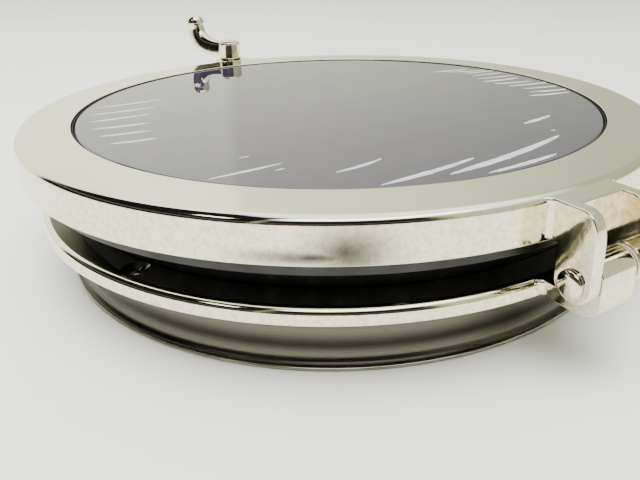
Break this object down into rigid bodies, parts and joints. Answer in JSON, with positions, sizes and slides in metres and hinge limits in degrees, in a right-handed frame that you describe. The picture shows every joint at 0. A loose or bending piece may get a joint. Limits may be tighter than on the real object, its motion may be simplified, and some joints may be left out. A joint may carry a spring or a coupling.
{
  "type": "opening porthole",
  "caption": "Round opening porthole: polished frame ring with spigot, hinged glazed lid on a rubber seal, and a lever latch opposite the hinge.",
  "frame": {"origin": "on the axis of the rings, in the plane of the spigot's end, which the part stands on", "axes": "+Z along the ring axis, out through the glass; +Y from the hinge towards the latch"},
  "size_m": [0.3634, 0.4404, 0.113],
  "materials": {
    "polished_steel": "mirror-polished stainless steel",
    "satin_steel": "satin turned stainless steel",
    "grey_steel": "plain machined stainless steel",
    "black_rubber": "matt black rubber",
    "white_nylon": "natural nylon",
    "tinted_glass": "grey tinted toughened glass"
  },
  "bodies": {
    "frame": {"flange_ring": "polished_steel", "spigot_tube": "satin_steel", "compression_seal": "black_rubber", "latch_keeper": "grey_steel", "keeper_screw_1": "grey_steel", "keeper_screw_2": "grey_steel", "hinge_pin": "polished_steel", "hinge_pin_clip": "grey_steel", "hinge_washer_left": "white_nylon", "hinge_washer_right": "white_nylon"},
    "lid": {"lid_ring": "polished_steel", "glass_pane": "tinted_glass", "glazing_seal": "black_rubber", "lid_land_ring": "grey_steel", "lid_land_screw_1": "grey_steel", "lid_land_screw_2": "grey_steel", "lid_land_screw_3": "grey_steel", "lid_land_screw_4": "grey_steel", "lid_land_screw_5": "grey_steel", "lid_land_screw_6": "grey_steel", "lid_land_screw_7": "grey_steel", "lid_land_screw_8": "grey_steel", "hinge_bush_left": "white_nylon", "hinge_bush_right": "white_nylon", "latch_bush": "white_nylon", "latch_o_ring": "black_rubber"},
    "latch": {"latch_thrust_washer": "grey_steel", "latch_spindle": "grey_steel", "latch_tongue": "grey_steel", "latch_tongue_nut": "grey_steel", "lever_handle": "polished_steel", "handle_cap": "polished_steel"}
  },
  "joints": [
    {"name": "lid_hinge", "type": "hinge", "parent": "frame", "child": "lid", "pos_m": [0, -0.194, 0.046], "axis": [1, 0, 0], "range_deg": [0, 105]},
    {"name": "latch_turn", "type": "hinge", "parent": "lid", "child": "latch", "pos_m": [0, 0.192, 0.077], "axis": [0, 0, 1], "range_deg": [-90, 0]}
  ]
}
